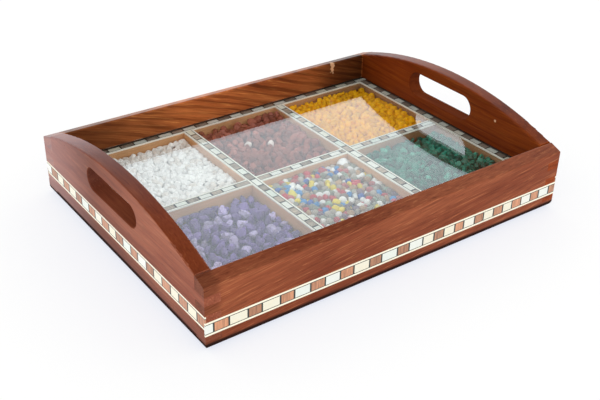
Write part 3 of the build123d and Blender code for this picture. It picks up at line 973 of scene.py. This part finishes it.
# ---------------- operators
class DISPLAYBOX_OT_boards(Operator):
    """Finishes the front, back and end boards in streaked rosewood"""

    bl_idname = "display_box.boards"
    bl_label = "Boards"

    def execute(self, context):
        for name, board in BOARDS.items():
            side = name.split("_")[0]
            smooth_copy(name, board, rosewood(f"rosewood {side}", context.scene.wood_finish, board))
        return {"FINISHED"}


class DISPLAYBOX_OT_lining(Operator):
    """Finishes the base panel, the ledges and the dividers"""

    bl_idname = "display_box.lining"
    bl_label = "Lining"

    def execute(self, context):
        wood = context.scene.wood_finish
        along_x = plain_wood("lining along", wood.lining, 0.5, "X")
        along_y = plain_wood("lining across", wood.lining, 0.5, "Y")
        for name in ("front_ledge", "back_ledge", "long_divider"):
            finish_node(name, along_x)
        for name in ("left_ledge", "right_ledge", "left_divider", "right_divider"):
            finish_node(name, along_y)
        finish_node("base_panel", plain_wood("plywood", wood.panel, 0.6, "X"))
        return {"FINISHED"}


class DISPLAYBOX_OT_banding(Operator):
    """Finishes the inlaid banding on the boards, the ledges and the dividers"""

    bl_idname = "display_box.banding"
    bl_label = "Banding"

    def execute(self, context):
        inlay = context.scene.inlay_finish
        outer = (
            pearl("pearl", inlay, WAXED),
            inlay_line("dark lines", inlay.dark_wood, 0.5, WAXED),
            inlay_line("pale stringing", inlay.stringing, 0.12, WAXED),
            {axis: tile_wood(f"outer tile wood {axis}", inlay.tile_wood, axis, WAXED) for axis in "XY"},
        )
        inner = (
            pearl("inner pearl", inlay, POLISHED, creamy=(0.62, 1.10)),
            inlay_line("inner dark lines", inlay.dark_wood, 0.5, WAXED),
            inlay_line("inner stringing", inlay.inner_stringing, 0.12, POLISHED),
            {axis: tile_wood(f"inner tile wood {axis}", inlay.inner_wood, axis, POLISHED) for axis in "XY"},
        )
        front = (pearl("front pearl", inlay, WAXED, creamy=(0.18, 0.50), shade=0.93), *outer[1:])
        # The ledges' wood tiles and pearl are darkened by painted shade, where the boards shade the ledges.
        shaded = [part * LEDGE_SHADE for part in inlay.inner_wood]
        ledges = (
            pearl("ledge pearl", inlay, POLISHED, creamy=(0.55, 0.95), shade=0.80),
            *inner[1:3],
            {"X": tile_wood("ledge tile wood", shaded, "X", POLISHED)},
        )
        bands = {
            "front_band": (front, "X"),
            "back_band": (outer, "X"),
            "left_band": (outer, "Y"),
            "right_band": (outer, "Y"),
            "left_divider": (inner, "Y"),
            "right_divider": (inner, "Y"),
            "long_divider": (inner, "X"),
            "ledge": (ledges, "X"),
        }
        for index, (band, ((shell, dark, pale, woods), axis)) in enumerate(bands.items()):
            tinted_copy(f"{band}_pearl_tiles", shell, PEARL_SEED + index)
            tinted_copy(f"{band}_wood_tiles", woods[axis], WOOD_SEED + index)
            finish_node(f"{band}_dark_lines", dark)
            finish_node(f"{band}_pale_stringing", pale)
        return {"FINISHED"}


class DISPLAYBOX_OT_stones(Operator):
    """Fills the six compartments with loose stones"""

    bl_idname = "display_box.stones"
    bl_label = "Stones"

    def execute(self, context):
        finishes = {
            "rough": stone("rough stones", roughness=0.6, gloss=0.12, mottle=0.10, painted_facet_light=0.05),
            "broken": stone("broken stones", roughness=0.3, gloss=0.30, mottle=0.14, painted_facet_light=0.32),
            "tumbled": stone("tumbled stones", roughness=0.3, gloss=0.35, mottle=0.10, painted_facet_light=0.0),
        }
        for heap in HEAPS:
            fill(heap, context.scene.stone_finish, finishes[heap.finish])
        return {"FINISHED"}


class DISPLAYBOX_OT_glass(Operator):
    """Finishes the loose pane over the compartments"""

    bl_idname = "display_box.glass"
    bl_label = "Glass"

    def execute(self, context):
        finish_node("glass_pane", clear_glass("clear glass", context.scene.glass_finish))
        return {"FINISHED"}


FLOOR_HALF = 4.0  # metres
OVERHEAD = (0.60, 0.92)  # heights in the sky, as sines, between which light dims
ABOVE_MIRROR = (0.64, 0.82)  # and between which the mirrored sky dims
OVERHEAD_SHEEN = (0.18, 0.18, 0.18)
SENSOR_WIDTH = 36.0  # millimetres
NEAREST_SEEN = 0.01  # metres


class DISPLAYBOX_OT_stage(Operator):
    """Sets up the floor, the light and the camera"""

    bl_idname = "display_box.stage"
    bl_label = "Stage"

    def execute(self, context):
        stage = context.scene.stage_settings
        self.lay_floor(stage)
        self.surround(context.scene, stage)
        self.place_camera(context.scene, stage)
        context.scene.view_settings.view_transform = "Standard"
        return {"FINISHED"}

    def lay_floor(self, stage):
        """A pale floor under the box; the camera sees it lifted to white, with the shadow kept."""
        material, tree = new_material("floor")
        plain = self.glowing(tree, stage.floor, stage.floor_lift)
        lifted = self.glowing(tree, stage.seen_floor, stage.seen_lift)
        show(tree, node(tree, "MixShader", {0: self.seen(tree), 1: plain, 2: lifted}).outputs[0])
        corners = [(x * FLOOR_HALF, y * FLOOR_HALF, 0) for x, y in ((-1, -1), (1, -1), (1, 1), (-1, 1))]
        mesh = bpy.data.meshes.new("floor")
        mesh.from_pydata(corners, [], [(0, 1, 2, 3)])
        mesh.materials.append(material)
        floor = bpy.data.objects.new("floor", mesh)
        bpy.context.scene.collection.objects.link(floor)

    def glowing(self, tree, base, light):
        """A matt surface that also gives light."""
        matt = node(tree, "BsdfDiffuse", {"Color": rgba(base)}).outputs[0]
        glow = node(tree, "Emission", {"Color": rgba(light), "Strength": 1.0}).outputs[0]
        return node(tree, "AddShader", {0: matt, 1: glow}).outputs[0]

    def seen(self, tree):
        """1 for rays that show the surface to the camera, straight on, mirrored or through glass."""
        rays = node(tree, "LightPath").outputs
        mirrored = calc("MAXIMUM", rays["Is Glossy Ray"], rays["Is Transmission Ray"])
        return calc("MAXIMUM", rays["Is Camera Ray"], mirrored)

    def surround(self, scene, stage):
        """A room of light: bright at the sides and dim overhead; the camera itself sees white."""
        world = bpy.data.worlds.new("surround")
        world.use_nodes = True
        tree = world.node_tree
        tree.nodes.clear()
        direction = node(tree, "TexCoord").outputs["Generated"]
        height = chained("SeparateXYZ", {0: direction}).outputs["Z"]
        overhead = eased(height, *OVERHEAD)
        above_mirror = eased(height, *ABOVE_MIRROR)
        rays = node(tree, "LightPath").outputs
        side = [part * stage.side_strength for part in stage.low_light]
        top = [part * stage.top_strength for part in stage.low_light]
        mirrored = [part * stage.sheen_strength for part in stage.sheen]
        tone = mix(overhead, side, top)
        sheen = mix(above_mirror, mirrored, OVERHEAD_SHEEN)
        tone = mix(rays["Is Glossy Ray"], tone, sheen)
        shown = calc("MAXIMUM", rays["Is Camera Ray"], rays["Is Transmission Ray"])
        tone = mix(shown, tone, (1.0, 1.0, 1.0))
        backdrop = node(tree, "Background", {"Color": tone, "Strength": 1.0}).outputs[0]
        node(tree, "OutputWorld", {"Surface": backdrop})
        scene.world = world

    def place_camera(self, scene, stage):
        """The camera looks at its target from its azimuth and elevation, with a slight roll."""
        lens = bpy.data.cameras.new("camera")
        lens.lens = stage.lens
        lens.sensor_width = SENSOR_WIDTH
        lens.clip_start = NEAREST_SEEN
        camera = bpy.data.objects.new("camera", lens)
        azimuth, elevation = stage.azimuth, stage.elevation
        level = math.cos(elevation)
        back = np.array([math.sin(azimuth) * level, -math.cos(azimuth) * level, math.sin(elevation)])
        camera.location = np.array(stage.target) + back * stage.distance
        camera.rotation_mode = "XYZ"
        turn = Matrix.Rotation(azimuth, 3, "Z") @ Matrix.Rotation(math.radians(90) - elevation, 3, "X")
        turn = turn @ Matrix.Rotation(stage.roll, 3, "Z")
        camera.rotation_euler = turn.to_euler("XYZ")
        scene.collection.objects.link(camera)
        scene.camera = camera


# ---------------- panel
STEPS = (
    DISPLAYBOX_OT_stage,
    DISPLAYBOX_OT_boards,
    DISPLAYBOX_OT_lining,
    DISPLAYBOX_OT_banding,
    DISPLAYBOX_OT_stones,
    DISPLAYBOX_OT_glass,
)
GROUPS = {
    "wood_finish": WoodFinish,
    "inlay_finish": InlayFinish,
    "stone_finish": StoneFinish,
    "glass_finish": GlassFinish,
    "stage_settings": StageSettings,
}


class DISPLAYBOX_PT_panel(Panel):
    """Lists the pieces of the display box and what can be changed on them"""

    bl_idname = "DISPLAYBOX_PT_panel"
    bl_label = "Display Box"
    bl_space_type = "VIEW_3D"
    bl_region_type = "UI"
    bl_category = "Display Box"

    def draw(self, context):
        for step in STEPS:
            self.layout.operator(step.bl_idname)
        for name, group in GROUPS.items():
            box = self.layout.box()
            box.label(text=group.__doc__)
            for key in group.__annotations__:
                box.prop(getattr(context.scene, name), key)


def register():
    """Adds the settings, the steps and the panel."""
    for group in GROUPS.values():
        bpy.utils.register_class(group)
    for name, group in GROUPS.items():
        setattr(bpy.types.Scene, name, PointerProperty(type=group))
    for step in STEPS:
        bpy.utils.register_class(step)
    bpy.utils.register_class(DISPLAYBOX_PT_panel)


def unregister():
    """Takes away what register adds, in reverse order."""
    bpy.utils.unregister_class(DISPLAYBOX_PT_panel)
    for step in reversed(STEPS):
        bpy.utils.unregister_class(step)
    for name, group in GROUPS.items():
        delattr(bpy.types.Scene, name)
        bpy.utils.unregister_class(group)


def main():
    """Makes every piece in order."""
    register()
    for step in STEPS:
        part = step.bl_idname.split(".")[1]
        getattr(bpy.ops.display_box, part)()


if __name__ == "__main__":
    main()
